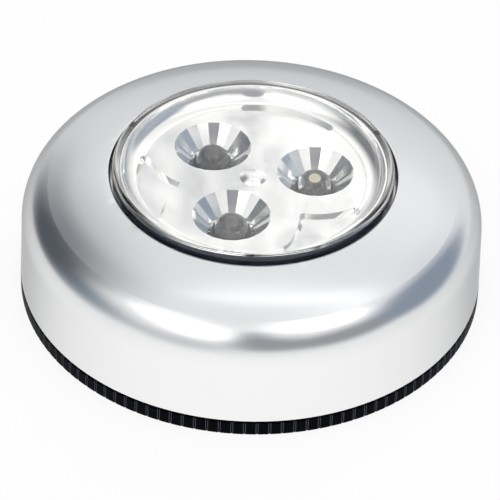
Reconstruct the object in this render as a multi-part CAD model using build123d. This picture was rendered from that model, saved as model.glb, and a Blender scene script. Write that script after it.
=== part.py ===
"""Touch light: a round battery light with three LEDs, switched by pressing its whole clear front.

Lengths are millimetres and angles degrees. Z points up from the flat back, and the origin is the
back's centre. The front of the picture is towards -Y. The levels are stacked from the back: pad,
cells, board, LEDs, reflector, lens.
"""
from build123d import *
import math
import os

# Housing: a drafted wall, a round shoulder and a gently domed front with a round opening
housing_d = 68.0
wall_t = 1.8
wall_draft = 2.0
shoulder_r = 6.0
shoulder_turn = 69.0
front_r = 69.0
lip_t = 1.6
lip_round = 0.35
foot_chamfer = 0.4
seam_gap = 0.1

# Base: the ribbed battery cover that twists into the housing
rim_h = 2.0
rim_w = 2.2
floor_t = 1.5
rib_count = 120
rib_gap = 0.22
rib_h = 0.1
pad_border = 8.9
pad_t = 0.5
liner_t = 0.1
pad_fit = 0.3

# Bayonet: hooks on the base behind ledges on the housing
hook_count = 3
hook_first = 20.0
hook_span = 16.0
hook_t = 1.0
hook_gap = 0.2
lug_reach = 0.9
lug_t = 1.2
lug_gap = 0.3
lug_play = 0.2
ledge_t = 1.0
ledge_lift = 1.1
stop_span = 3.0
stop_gap = 0.5

# Cells, side by side along Y and as long as the housing allows, which is AAA here
cell_d = 10.3
cell_gap = 0.6
cell_lift = 0.1
cell_round = 0.5
nub_d = 3.8
nub_h = 0.9

# Contacts: sheet plates with a dimple for the nub, a coil spring for the flat end and a solder tab
plate_t = 0.4
plate_w = 7.0
plate_seat = 0.5
plate_fit = 0.05
dimple_d = 3.8
dimple_h = 0.5
touch_gap = 0.02
spring_l = 2.6
spring_base_d = 6.0
spring_tip_d = 3.4
spring_wire_d = 0.5
spring_turns = 2.5
weld_depth = 0.1
tab_w = 2.4
tab_rise = 1.1

# Battery tray: a box open to the back, with the circuit board on its roof
tray_wall = 1.1
tray_lift = 0.2
tray_hook_gap = 0.55
tray_wall_gap = 0.2
tray_side_gap = 0.3
tray_corner_gap = 0.05
roof_t = 1.0
roof_gap = 0.3
window_gap = 0.2
window_web = 0.8
valley_w = 3.2
tail_room = 0.25
tail_room_w = 3.35
ear_side_gap = 1.05
ear_wall_gap = 0.3
ear_d = 6.0
ear_t = 1.5
boss_d = 5.6

# Screws: pan heads with a cross recess
tray_screw_d = 2.0
tray_screw_head_d = 4.0
tray_screw_head_h = 1.3
tray_screw_l = 5.5
board_screw_d = 1.6
board_screw_head_d = 3.2
board_screw_head_h = 1.0
board_screw_l = 2.8
board_screw_inset = 1.8
screw_clearance = 0.15
thread_gap = 0.02
recess_arm_share = 0.6
recess_slot_share = 0.16

# Circuit board and the resistor on it
board_d = 34.0
board_t = 1.0
resistor_d = 1.6
resistor_cap_d = 1.9
resistor_l = 3.4
resistor_cap_l = 0.9
resistor_wire_d = 0.5
resistor_wire_run = 1.3
resistor_lift = 0.1
resistor_out = 0.45

# LEDs: clear straw-hat bodies over a two-post lead frame
led_count = 3
led_circle_d = 18.3
led_first = 11.6
led_d = 4.8
led_h = 5.1
led_flange_w = 0.4
led_flange_t = 1.0
led_dome_h = 1.6
lead_w = 0.5
lead_pitch = 2.54
lead_tail = 0.15
cup_d = 1.8
cup_h = 0.9
cup_drop = 1.4
cup_bar_t = 0.4
phosphor_top_d = 1.4
phosphor_low_d = 1.0
phosphor_h = 0.45

# Latching switch under the middle of the reflector
switch_w = 4.6
switch_h = 3.0
switch_round = 0.4
switch_floor_t = 0.3
switch_lid_t = 0.65
switch_bore_gap = 0.15
plunger_d = 2.4
plunger_flange_d = 3.1
plunger_flange_t = 0.4
plunger_fit = 0.05
pin_w = 0.5
pin_t = 0.3
pin_pitch = 2.0
pin_rise = 0.8
switch_spring_inset = 0.25
switch_wire_d = 0.25
switch_turns = 1.75
press_travel = 1.0

# Reflector: a metallised plate with three faceted wells, three shallow pockets and a centre boss
reflector_t = 0.8
led_recess = 0.25
dish_land = 1.5
dish_rise = 1.95
dish_turn = 70.0
dish_rim_w = 0.265
well_d = 11.3
well_hole_gap = 0.4
well_depth = 2.7
well_facets = 20
pocket_depth = 0.65
pocket_land = 4.05
pocket_reach = 0.6
pocket_round = 0.7
pocket_slope = 35.0
centre_boss_d = 3.9
centre_boss_h = 0.7
reflector_flange_gap = 0.35

# Lens: a clear cup that slides in the housing and carries the reflector
lens_gap = 0.35
lens_wall = 1.0
lens_t = 0.8
lens_dome = 0.5
lens_round = 0.7
lens_stand = 1.27
lens_fit = 0.1
rim_gap = 0.2
flange_reach = 0.9
flange_t = 0.9
flange_play = 0.1
key_count = 3
key_first = 60.0
key_w = 4.0
key_reach = 1.2
stake_count = 3
stake_first = 30.0
stake_d = 1.2
stake_head_d = 2.0
stake_head_h = 0.5

# Guide collar inside the housing that the lens's flange and keys slide in
collar_gap = 0.25
collar_t = 1.2
collar_over = 0.6
key_gap = 0.2

# Wires from the contacts to the board
wire_d = 1.0
wire_gap = 0.1
wire_bend = 0.8
wire_pad_inset = 2.4
wire_pad_angle = 45.0
wire_ramp_share = 0.25
solder_d = 2.2

# One overrun for cuts, and one tolerance for finding an edge again
over = 0.5
tiny = 0.001

# Radii: the front's are stacked outwards from the wells
housing_r = housing_d / 2
base_r = housing_r - rib_h
pad_r = base_r - pad_border
cell_r = cell_d / 2
board_r = board_d / 2
led_circle_r = led_circle_d / 2
dish_r = led_circle_r + well_d / 2 + dish_land
dish_round = dish_rise / (1 - math.cos(math.radians(dish_turn)))
dish_wall_r = dish_r + dish_round * math.sin(math.radians(dish_turn))
reflector_r = dish_wall_r + dish_rim_w
lens_in_r = reflector_r + lens_fit
lens_r = lens_in_r + lens_wall
opening_r = lens_r + lens_gap
flange_r = opening_r + flange_reach
reflector_flange_r = flange_r - reflector_flange_gap
stake_r = (reflector_r + reflector_flange_r) / 2
well_hole_r = led_d / 2 + well_hole_gap
led_flange_r = led_d / 2 + led_flange_w
switch_bore_r = plunger_flange_d / 2 + switch_bore_gap

# Levels, from the back to the front
pad_recess = pad_t + liner_t
foot_z = rim_h + seam_gap
ledge_z = foot_z + ledge_lift
lug_z = ledge_z + ledge_t + lug_play
lug_top_z = lug_z + lug_t
cell_z = floor_t + cell_lift + cell_r
board_z = cell_z + cell_r + roof_gap
roof_z = board_z - roof_t
board_top_z = board_z + board_t
led_tip_z = board_top_z + led_h
plate_z = led_tip_z + led_recess
reflector_rim_z = plate_z + dish_rise
lens_under_z = reflector_rim_z + rim_gap
lens_edge_z = lens_under_z + lens_t
lens_top_z = lens_edge_z + lens_dome
lip_z = lens_edge_z - lens_stand
lip_under_z = lip_z - lip_t
flange_top_z = lip_under_z - flange_play
flange_z = flange_top_z - flange_t
reflector_flange_z = flange_z - reflector_t
collar_z = reflector_flange_z - press_travel - collar_over
well_z = plate_z - well_depth
switch_top_z = board_top_z + switch_h
plunger_top_z = plate_z - touch_gap * 2 - plunger_fit * 2


def wall_in_r(z):
    """Radius of the housing's inner wall at a height."""
    lean = math.radians(wall_draft)
    return housing_r - (z - foot_z) * math.tan(lean) - wall_t / math.cos(lean)


# Bayonet radii: the hooks' outside under their lugs, and the ledges' inside
hook_r = wall_in_r(lug_top_z) - lug_gap - lug_reach
ledge_r = hook_r + hook_gap

# Plan of the battery bay, from the hooks inwards
tray_r = hook_r - hook_t - tray_hook_gap
bay_r = tray_r - tray_wall
cell_pitch = cell_d + cell_gap
bay_x = cell_pitch + cell_r + tray_side_gap
bay_y = math.sqrt((bay_r - tray_corner_gap) ** 2 - (cell_pitch + plate_w / 2) ** 2)
plate_y = bay_y - plate_t
cell_l = 2 * plate_y - dimple_h - spring_l - 2 * touch_gap
tray_z = floor_t + tray_lift
shift_y = plate_y - touch_gap - dimple_h - cell_l / 2

# Places of the tray's ears and bosses, and of the board's screws between the cells
ear_x = bay_x + tray_wall + tray_screw_head_d / 2 + ear_side_gap
ear_circle_r = wall_in_r(board_z) - tray_screw_head_d / 2 - ear_wall_gap
ear_y = math.sqrt(ear_circle_r ** 2 - ear_x ** 2)
board_screw_x = cell_pitch / 2
board_screw_y = math.sqrt((board_r - board_screw_inset) ** 2 - board_screw_x ** 2)

LOW = (Align.CENTER, Align.CENTER, Align.MIN)
CORNER = (Align.MIN, Align.MIN, Align.MIN)


def polar(radius, angle):
    """X and Y of a point on a circle."""
    return radius * math.cos(math.radians(angle)), radius * math.sin(math.radians(angle))


def rod(radius, z0, z1, x=0, y=0):
    """An upright cylinder between two heights."""
    return Pos(x, y, z0) * Cylinder(radius, z1 - z0, align=LOW)


def tube(r_out, r_in, z0, z1):
    """An upright ring between two heights."""
    return rod(r_out, z0, z1) - rod(r_in, z0 - over, z1 + over)


def slab(x0, x1, y0, y1, z0, z1):
    """A box between two corners."""
    return Pos(x0, y0, z0) * Box(x1 - x0, y1 - y0, z1 - z0, align=CORNER)


def bar(radius, angle, length, width, z0, z1):
    """A box that lies outwards along a spoke, centred at a radius."""
    return Rot(0, 0, angle) * Pos(radius, 0, z0) * Box(length, width, z1 - z0, align=LOW)


def turned(outline, start=0, arc=360):
    """A closed outline, in radius and height, turned about Z."""
    return Rot(0, 0, start) * revolve(Plane.XZ * make_face(outline), Axis.Z, arc)


def turned_points(points, start=0, arc=360):
    """The same for an outline of straight lines."""
    return turned(Polyline(*points, close=True), start, arc)


def sector(r_in, r_out, z0, z1, start, span):
    """A piece of a ring between two angles."""
    return turned_points([(r_in, z0), (r_out, z0), (r_out, z1), (r_in, z1)], start, span)


def dome_arc(radius, z, rise):
    """An outline arc from a radius up to the axis, part of a ball that is centred on the axis."""
    ball = (radius * radius + rise * rise) / (2 * rise)
    half = math.asin(radius / ball) / 2
    middle = (ball * math.sin(half), z + rise - ball + ball * math.cos(half))
    return ThreePointArc((radius, z), middle, (0, z + rise))


def ring_edges(part, radius, z):
    """The circles of a part that have this radius and height."""
    circles = part.edges().filter_by(GeomType.CIRCLE)
    return [e for e in circles if abs(e.radius - radius) < tiny and abs(e.center().Z - z) < tiny]


def around(count, first):
    """Angles of a pattern that is evenly spaced round the axis."""
    return [first + k * 360 / count for k in range(count)]


def biarc(p0, t0, p1, t1):
    """Two arcs that leave p0 along t0 and reach p1 along t1."""
    v, t = p1 - p0, t0 + t1
    spread = 2 * (1 - t0.dot(t1))
    d = (-v.dot(t) + math.sqrt(v.dot(t) ** 2 + 2 * spread * v.dot(v) / 2)) / spread
    q0, q1 = p0 + t0 * d, p1 - t1 * d
    middle = (q0 + q1) * 0.5
    return [TangentArc(p0, middle, tangent=t0), TangentArc(middle, p1, tangent=q1 - middle)]


def coil(name, r0, r1, z0, z1, turns, wire_r):
    """One unbroken wire wound upwards in quarter turns, which prints its least gap to itself."""
    def point(s):
        a, r = 2 * math.pi * turns * s, r0 + (r1 - r0) * s
        return Vector(r * math.cos(a), r * math.sin(a), z0 + (z1 - z0) * s)

    def direction(s):
        a, r = 2 * math.pi * turns * s, r0 + (r1 - r0) * s
        swing = 2 * math.pi * turns * r
        x = (r1 - r0) * math.cos(a) - swing * math.sin(a)
        y = (r1 - r0) * math.sin(a) + swing * math.cos(a)
        return Vector(x, y, z1 - z0).normalized()

    steps = math.ceil(turns * 4)
    stops = [k / steps for k in range(steps + 1)]
    arcs = []
    for a, b in zip(stops, stops[1:]):
        arcs += biarc(point(a), direction(a), point(b), direction(b))
    path = Wire([arc.edge() for arc in arcs])
    samples = [point(k / steps / 4) for k in range(4 * steps + 1)]
    least = min((p - q).length for k, p in enumerate(samples) for q in samples[k + 10:])
    print(f"{name}: {turns} turns, least gap between turns {least - 2 * wire_r:.2f} mm")
    return sweep(Plane(origin=point(0), z_dir=direction(0)) * Circle(wire_r), path)


def shoulder_centre():
    """Centre of the shoulder's arc, which leaves the wall and meets the front's arc without a corner."""
    lean, turn = math.radians(wall_draft), math.radians(shoulder_turn)
    side = (front_r - shoulder_r) * math.cos(turn)
    rise = (front_r - shoulder_r) * math.sin(turn)
    # The centre's X is foot_x - slope * Z, and the front's arc has to end at the opening
    foot_x = housing_r - (shoulder_r - foot_z * math.sin(lean)) / math.cos(lean)
    slope = math.tan(lean)
    p, q = opening_r - foot_x + side, lip_z + rise
    a, b, c = 1 + slope ** 2, q - slope * p, p * p + q * q - front_r ** 2
    z = (b - math.sqrt(b * b - a * c)) / a
    return foot_x - slope * z, z


def shell_region(inset, low_z):
    """What lies inside the housing's outer surface, moved in by a wall, from a height up to the opening."""
    lean, turn = math.radians(wall_draft), math.radians(shoulder_turn)
    centre_x, centre_z = shoulder_centre()
    cap_x = centre_x - (front_r - shoulder_r) * math.cos(turn)
    cap_z = centre_z - (front_r - shoulder_r) * math.sin(turn)

    def shoulder(angle):
        r = shoulder_r - inset
        return centre_x + r * math.cos(angle), centre_z + r * math.sin(angle)

    def cap(angle):
        r = front_r - inset
        return cap_x + r * math.cos(angle), cap_z + r * math.sin(angle)

    last = math.acos((opening_r - cap_x) / (front_r - inset))
    foot_x = housing_r - (inset / math.cos(lean)) - (low_z - foot_z) * math.tan(lean)
    outline = Line((0, low_z), (foot_x, low_z)) + Line((foot_x, low_z), shoulder(lean))
    outline += ThreePointArc(shoulder(lean), shoulder((lean + turn) / 2), shoulder(turn))
    outline += ThreePointArc(shoulder(turn), cap((turn + last) / 2), cap(last))
    outline += Line(cap(last), (0, cap(last)[1])) + Line((0, cap(last)[1]), (0, low_z))
    return turned(outline)


def screw(shank_d, head_d, head_h, length):
    """A pan-head screw that points down from its seat at zero height."""
    head = rod(head_d / 2, 0, head_h)
    head = fillet(ring_edges(head, head_d / 2, head_h), head_h / 2)
    arm, slot = head_d * recess_arm_share, head_d * recess_slot_share
    cross = Pos(0, 0, head_h / 2) * (Box(arm, slot, head_h, align=LOW) + Box(slot, arm, head_h, align=LOW))
    tip = Cone(shank_d / 4, shank_d / 2, shank_d / 2, align=LOW)
    return head - cross + rod(shank_d / 2, shank_d / 2 - length, 0) + Pos(0, 0, -length) * tip


def make_housing():
    """The silver dome with its opening, guide collar, screw bosses and bayonet ledges."""
    envelope = shell_region(0, foot_z)
    envelope = chamfer(ring_edges(envelope, housing_r, foot_z), foot_chamfer)
    shell = envelope - shell_region(wall_t, foot_z - over)

    collar_r = flange_r + collar_gap
    inside = tube(collar_r + collar_t, collar_r, collar_z, lip_z)
    for x, y in ear_places():
        inside += rod(boss_d / 2, board_z, lip_z, x, y)
    ledge_out = wall_in_r(ledge_z) + wall_t / 2
    for angle in around(hook_count, hook_first):
        start = angle - hook_span / 2
        inside += sector(ledge_r, ledge_out, ledge_z, ledge_z + ledge_t, start, hook_span)
        inside += sector(ledge_r, ledge_out, ledge_z, lug_top_z, start + hook_span + stop_gap, stop_span)
    shell += inside & envelope

    shell -= rod(opening_r, lip_under_z - over, lip_z + over)
    shell -= rod(collar_r, collar_z - over, lip_under_z)
    for angle in around(key_count, key_first):
        reach = key_reach + 2 * key_gap
        middle = flange_r + reach / 2 - over / 2
        shell -= bar(middle, angle, reach + over, key_w + 2 * key_gap, collar_z - over, lip_under_z)
    pilot = tray_screw_d / 2 + thread_gap
    top = board_z - ear_t + tray_screw_l + screw_clearance
    for x, y in ear_places():
        shell -= rod(pilot, board_z - over, top, x, y)
    return fillet(ring_edges(shell, opening_r, lip_z), lip_round)


def ear_places():
    """Places of the four tray screws."""
    return [(x, y) for x in (-ear_x, ear_x) for y in (-ear_y, ear_y)]


def make_base():
    """The battery cover: a ribbed rim, a recess for the pad and three hooks with lugs."""
    plan = Circle(housing_r)
    for angle in around(rib_count, 0):
        plan -= Rot(0, 0, angle) * Pos(housing_r, 0) * Rectangle(2 * rib_h, rib_gap)
    cover = extrude(plan, rim_h)
    cover -= rod(base_r - rim_w, floor_t, rim_h + over)
    cover -= rod(pad_r + pad_fit, -over, pad_recess)
    for angle in around(hook_count, hook_first):
        start = angle - hook_span / 2
        cover += sector(hook_r - hook_t, hook_r, floor_t / 2, lug_top_z, start, hook_span)
        cover += sector(hook_r - hook_t / 2, hook_r + lug_reach, lug_z, lug_top_z, start, hook_span)
    return cover


def make_tray():
    """The battery box, open to the back, with windows over the cells and ears for its screws."""
    def box(x, y, r, z0, z1):
        return slab(-x, x, -y, y, z0, z1) & rod(r, z0, z1)

    tray = box(bay_x + tray_wall, bay_y + tray_wall, tray_r, tray_z, board_z)
    ear_z = board_z - ear_t
    limit = rod(wall_in_r(board_z) - tray_wall_gap, ear_z, board_z)
    for x, y in ear_places():
        near, far = sorted((x, math.copysign(bay_x, x)))
        ear = rod(ear_d / 2, ear_z, board_z, x, y)
        tray += (ear + slab(near, far, y - ear_d / 2, y + ear_d / 2, ear_z, board_z)) & limit
    tray -= box(bay_x, bay_y, bay_r, tray_z - over, roof_z)
    for x, y in ear_places():
        tray -= rod(tray_screw_d / 2 + screw_clearance, ear_z - over, board_z + over, x, y)

    valley_x = cell_pitch / 2
    slope_x = valley_x - valley_w / 2
    valley_z = cell_z + math.sqrt(cell_r ** 2 - slope_x ** 2) + cell_lift
    for x in (-valley_x, valley_x):
        end_y = plate_y - window_web
        tray += slab(x - valley_w / 2, x + valley_w / 2, -end_y, end_y, valley_z, roof_z)
    crest = roof_z - window_gap - cell_z
    window_x = math.sqrt(cell_r ** 2 - crest ** 2)
    window_y = plate_y - window_web
    for x in (-cell_pitch, 0, cell_pitch):
        tray -= slab(x - window_x, x + window_x, -window_y, window_y, roof_z - over, board_z + over)
    tray -= rod(led_circle_r + tail_room_w, board_z - tail_room, board_z + over)
    screw_end_z = board_top_z - board_screw_l - thread_gap
    for x, y in board_screw_places():
        tray -= rod(board_screw_d / 2 + thread_gap, screw_end_z, board_z + over, x, y)
    for side, x0, x1, tab_x in plate_places().values():
        y0, y1 = sorted((side * (plate_y - plate_fit), side * (bay_y + plate_fit)))
        seat_z = roof_z + plate_seat + plate_fit
        tray -= slab(x0 - plate_fit, x1 + plate_fit, y0, y1, roof_z - over, seat_z)
        if tab_x is not None:
            half = tab_w / 2 + plate_fit
            tray -= slab(tab_x - half, tab_x + half, y0, y1, roof_z, board_z + over)
    return tray


def board_screw_places():
    """Three screws through the board into the ribs between the cells."""
    x, y = board_screw_x, board_screw_y
    return [(x, y), (-x, y), (x, -y)]


def plate_places():
    """Each contact plate's end of the bay, its span in X and where its solder tab stands."""
    half = plate_w / 2
    return {
        "contact_positive": (1, cell_pitch - half, cell_pitch + half, cell_pitch),
        "contact_bridge_rear": (1, -cell_pitch - half, half, None),
        "contact_negative": (-1, -cell_pitch - half, -cell_pitch + half, -cell_pitch),
        "contact_bridge_front": (-1, -half, cell_pitch + half, None),
    }


def make_contact(name, dimple_x=None, spring_x=None):
    """A contact plate with its dimple, its coil spring or both."""
    side, x0, x1, tab_x = plate_places()[name]
    y0, y1 = sorted((side * plate_y, side * bay_y))
    plate = slab(x0, x1, y0, y1, cell_z - plate_w / 2, roof_z + plate_seat)
    if tab_x is not None:
        plate += slab(tab_x - tab_w / 2, tab_x + tab_w / 2, y0, y1, roof_z, board_z + tab_rise)
    if dimple_x is not None:
        r, h = dimple_d / 2, dimple_h
        ball = (r * r + h * h) / (2 * h)
        cap = Pos(0, 0, h - ball) * Sphere(ball) & rod(r, 0, h)
        plate += Pos(dimple_x, side * plate_y, cell_z) * Rot(90 * side, 0, 0) * cap
    if spring_x is not None:
        wire = spring_wire_d / 2
        low, high = wire - weld_depth, spring_l - wire
        spring = coil(name, spring_base_d / 2, spring_tip_d / 2, low, high, spring_turns, wire)
        plate += Pos(spring_x, side * plate_y, cell_z) * Rot(90 * side, 0, 0) * spring
    return plate


def make_cell(x, side):
    """An AAA cell along Y with its nub towards one side."""
    can_l = cell_l - nub_h
    can = rod(cell_r, 0, can_l)
    can = fillet(ring_edges(can, cell_r, 0) + ring_edges(can, cell_r, can_l), cell_round)
    nub = rod(nub_d / 2, can_l, cell_l)
    nub = fillet(ring_edges(nub, nub_d / 2, cell_l), nub_h / 4)
    return Pos(x, side * (shift_y - cell_l / 2), cell_z) * Rot(-90 * side, 0, 0) * (can + nub)


def lead_frame():
    """An LED's two posts, the right one with the bar and cup that hold the chip, standing on the board."""
    half, out = lead_w / 2, lead_pitch / 2
    foot, top = board_z - lead_tail, led_tip_z - cup_drop
    cup = rod(cup_d / 2, top - cup_h, top) - phosphor_dot()
    bridge = slab(-out - half, 0, -half, half, top - cup_h - cup_bar_t, top - cup_h)
    left = slab(-out - half, -out + half, -half, half, foot, top - cup_h)
    right = slab(out - half, out + half, -half, half, foot, top)
    return (left + bridge + cup) + right


def phosphor_dot():
    """The yellow phosphor that fills the cup."""
    top = led_tip_z - cup_drop
    return Pos(0, 0, top - phosphor_h) * Cone(phosphor_low_d / 2, phosphor_top_d / 2, phosphor_h, align=LOW)


def led_body():
    """The clear straw-hat body, moulded round the lead frame."""
    r, dome_z = led_d / 2, led_tip_z - led_dome_h
    flange_top = board_top_z + led_flange_t
    outline = Polyline((0, led_tip_z), (0, board_top_z), (led_flange_r, board_top_z),
                       (led_flange_r, flange_top), (r, flange_top), (r, dome_z))
    return turned(outline + dome_arc(r, dome_z, led_dome_h)) - lead_frame() - phosphor_dot()


def led_places():
    """One place for each LED, turned so that its leads lie across the spoke."""
    return [Rot(0, 0, a) * Pos(led_circle_r, 0, 0) * Rot(0, 0, 90) for a in around(led_count, led_first)]


def resistor_place():
    """Halfway between two LEDs, lying across the spoke."""
    return Rot(0, 0, led_first - 360 / led_count / 2) * Pos(led_circle_r + resistor_out, 0, 0) * Rot(0, 0, 90)


def make_resistor():
    """A small axial resistor with its wires bent down through the board."""
    axis_z = board_top_z + resistor_lift + resistor_cap_d / 2
    reach = resistor_l / 2 + resistor_wire_run
    wire_r = resistor_wire_d / 2
    foot = board_z - lead_tail
    bends = FilletPolyline((-reach, 0, foot), (-reach, 0, axis_z), (reach, 0, axis_z), (reach, 0, foot),
                           radius=resistor_wire_d)
    wires = sweep(Plane.XY.offset(foot) * Pos(-reach, 0) * Circle(wire_r), bends)
    body = Rot(0, 90, 0) * Cylinder(resistor_d / 2, resistor_l)
    for side in (-1, 1):
        cap = Rot(0, 90, 0) * Cylinder(resistor_cap_d / 2, resistor_cap_l)
        cap = fillet(cap.edges().filter_by(GeomType.CIRCLE), resistor_cap_l / 4)
        body += Pos(side * (resistor_l - resistor_cap_l) / 2, 0, 0) * cap
    return resistor_place() * (Pos(0, 0, axis_z) * body + wires)


def make_board(pieces):
    """The round circuit board, drilled for what stands in it."""
    board = rod(board_r, board_z, board_top_z)
    for x, y in board_screw_places():
        board -= rod(board_screw_d / 2 + screw_clearance, board_z - over, board_top_z + over, x, y)
    for piece in pieces:
        board -= piece
    return board


def make_switch_body():
    """The switch's square case with the bore that holds its spring and plunger."""
    case = Pos(0, 0, board_top_z) * Box(switch_w, switch_w, switch_h, align=LOW)
    case = fillet(case.edges().filter_by(Axis.Z), switch_round)
    case -= rod(switch_bore_r, board_top_z + switch_floor_t, switch_top_z - switch_lid_t)
    return case - rod(plunger_d / 2 + plunger_fit, switch_top_z - switch_lid_t - over, switch_top_z + over)


def plunger_low_z():
    """Underside of the plunger's flange at rest, where the spring pushes."""
    return switch_top_z - switch_lid_t - plunger_fit - plunger_flange_t


def make_plunger():
    """The switch's button, held in by its flange, under the reflector's centre."""
    low = plunger_low_z()
    stem = rod(plunger_d / 2, low, plunger_top_z)
    stem = fillet(ring_edges(stem, plunger_d / 2, plunger_top_z), plunger_d / 8)
    return stem + rod(plunger_flange_d / 2, low, low + plunger_flange_t)


def make_switch_spring():
    """The return spring between the case's floor and the plunger's flange."""
    wire = switch_wire_d / 2
    low = board_top_z + switch_floor_t + wire + touch_gap
    high = plunger_low_z() - wire - touch_gap
    r = plunger_flange_d / 2 - switch_spring_inset - wire
    return coil("switch_spring", r, r, low, high, switch_turns, wire)


def make_switch_terminals():
    """Six pins beside the case, bent against it and down through the board."""
    pins = []
    for side in (-1, 1):
        for k in (-1, 0, 1):
            x0, x1 = sorted((side * switch_w / 2, side * (switch_w / 2 + pin_t)))
            y0, y1 = k * pin_pitch - pin_w / 2, k * pin_pitch + pin_w / 2
            pins.append(slab(x0, x1, y0, y1, board_z - lead_tail, board_top_z + pin_rise))
    return group(pins)


def pocket_plan(grow=0):
    """Plan of the pocket on the X axis: three arcs, round the lens and round the two wells beside it."""
    half = math.radians(180 / led_count)
    land_x, land_y = led_circle_r * math.cos(half), led_circle_r * math.sin(half)
    land_r = well_d / 2 + pocket_land - grow
    out_r = dish_r + pocket_reach + grow
    apex = (land_x + math.sqrt(land_r ** 2 - land_y ** 2), 0)
    cosine = (out_r ** 2 + led_circle_r ** 2 - land_r ** 2) / (2 * out_r * led_circle_r)
    corner = polar(out_r, math.degrees(half - math.acos(cosine)))
    middle_x, middle_y = (apex[0] + corner[0]) / 2 - land_x, corner[1] / 2 - land_y
    scale = land_r / math.hypot(middle_x, middle_y)
    side = (land_x + middle_x * scale, land_y + middle_y * scale)
    outline = ThreePointArc((corner[0], -corner[1]), (out_r, 0), corner)
    outline += ThreePointArc(corner, side, apex)
    outline += ThreePointArc(apex, (side[0], -side[1]), (corner[0], -corner[1]))
    plan = make_face(outline)
    return fillet(plan.vertices(), pocket_round + grow)


def well_polygon(radius):
    """A regular polygon with one flat side facing +Y."""
    return RegularPolygon(radius, well_facets, rotation=180 / well_facets)


def make_reflector():
    """The metallised plate with its wells, pockets, centre boss, outer wall and flange."""
    out_r, t = reflector_r, reflector_t
    boss_r, bore_r = centre_boss_d / 2, plunger_d / 2 + 2 * plunger_fit
    bore_z, boss_top_z = plunger_top_z + touch_gap, plate_z + centre_boss_h
    outline = dome_arc(boss_r, plate_z, centre_boss_h)
    seat_z, half_turn = flange_z - touch_gap, math.radians(dish_turn / 2)
    outline += Line((boss_r, plate_z), (dish_r, plate_z))
    outline += ThreePointArc((dish_r, plate_z), (dish_r + dish_round * math.sin(half_turn),
                                                 plate_z + dish_round * (1 - math.cos(half_turn))),
                             (dish_wall_r, reflector_rim_z))
    outline += Polyline((dish_wall_r, reflector_rim_z), (out_r, reflector_rim_z),
                        (out_r, seat_z), (reflector_flange_r, seat_z),
                        (reflector_flange_r, reflector_flange_z), (out_r - t, reflector_flange_z),
                        (out_r - t, plate_z - t), (bore_r, plate_z - t), (bore_r, bore_z),
                        (0, bore_z), (0, boss_top_z))
    plate = turned(outline)

    wells = [Pos(*polar(led_circle_r, a), 0) for a in around(led_count, led_first)]
    slope = (well_d / 2 - well_hole_r) / (plate_z - well_z)
    skin = t * math.hypot(1, slope)
    cup = Pos(0, 0, well_z) * Cone(well_hole_r + skin, well_d / 2 + skin, plate_z - well_z, align=LOW)
    for place in wells:
        plate += place * cup
    pockets = [Rot(0, 0, led_first + 180 / led_count + k * 360 / led_count) for k in range(led_count)]
    bulge = extrude(Pos(0, 0, plate_z - t / 2) * pocket_plan(t), -(pocket_depth + t / 2))
    for place in pockets:
        plate += place * bulge
    low, high = well_hole_r - slope * over, well_d / 2 + slope * over
    bottom = Pos(0, 0, well_z - over) * well_polygon(low)
    mouth = Pos(0, 0, plate_z + over) * well_polygon(high)
    funnel = loft([bottom, mouth], ruled=True)
    for place in wells:
        plate -= place * funnel
    lean = math.tan(math.radians(pocket_slope))
    bottom = Pos(0, 0, plate_z - pocket_depth) * pocket_plan(-pocket_depth * lean)
    mouth = Pos(0, 0, plate_z + over) * pocket_plan(over * lean)
    pocket = loft([bottom, mouth], ruled=True)
    for place in pockets:
        plate -= place * pocket
    for angle in around(stake_count, stake_first):
        x, y = polar(stake_r, angle)
        plate -= rod(stake_d / 2 + thread_gap, reflector_flange_z - over, flange_z + over, x, y)
    return plate


def make_lens():
    """The clear cup: a slightly domed front, a side wall, a flange with keys and the stakes under it."""
    in_r = lens_in_r
    side_z, round_r = lens_edge_z - lens_round, lens_round
    diagonal = round_r * (1 - math.sqrt(0.5))
    outline = Polyline((in_r, lens_under_z), (in_r, flange_z), (flange_r, flange_z), (flange_r, flange_top_z),
                       (lens_r, flange_top_z), (lens_r, side_z))
    outline += ThreePointArc((lens_r, side_z), (lens_r - diagonal, lens_edge_z - diagonal),
                             (lens_r - round_r, lens_edge_z))
    outline += dome_arc(lens_r - round_r, lens_edge_z, lens_dome)
    outline += Line((0, lens_top_z), (0, lens_top_z - lens_t))
    outline += dome_arc(in_r, lens_under_z, lens_dome)
    cup = turned(outline)
    for angle in around(key_count, key_first):
        cup += bar(flange_r, angle, 2 * key_reach, key_w, flange_z, flange_top_z)
    for angle in around(stake_count, stake_first):
        x, y = polar(stake_r, angle)
        cup += rod(stake_d / 2, reflector_flange_z, flange_z, x, y)
        cup += rod(stake_head_d / 2, reflector_flange_z - stake_head_h, reflector_flange_z, x, y)
    return cup


def wire_route(side, tab_x):
    """Corner points of a wire, from its solder tab along the tray's roof and up on to the board."""
    low = board_z + wire_gap + wire_d / 2
    high = board_top_z + wire_gap + wire_d / 2
    pad_x, pad_y = polar(board_r - wire_pad_inset, wire_pad_angle)
    pad_x, pad_y = math.copysign(pad_x, tab_x), side * pad_y
    edge_x = (tab_x + pad_x) / 2
    edge_y = math.sqrt(board_r ** 2 - edge_x ** 2) + wire_d
    start_y = plate_y - wire_gap
    ramp = (start_y - edge_y) * wire_ramp_share
    return [(tab_x, side * start_y, low), (edge_x, side * (edge_y + 2 * ramp), low),
            (edge_x, side * (edge_y + ramp), low), (edge_x, side * edge_y, high), (pad_x, pad_y, high)]


def make_wire(side, tab_x):
    """An insulated wire that follows its route in runs and arcs."""
    points = wire_route(side, tab_x)
    path = FilletPolyline(*points, radius=wire_bend)
    start, nxt = Vector(*points[0]), Vector(*points[1])
    section = Plane(origin=start, z_dir=nxt - start) * Circle(wire_d / 2)
    return sweep(section, path)


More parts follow.
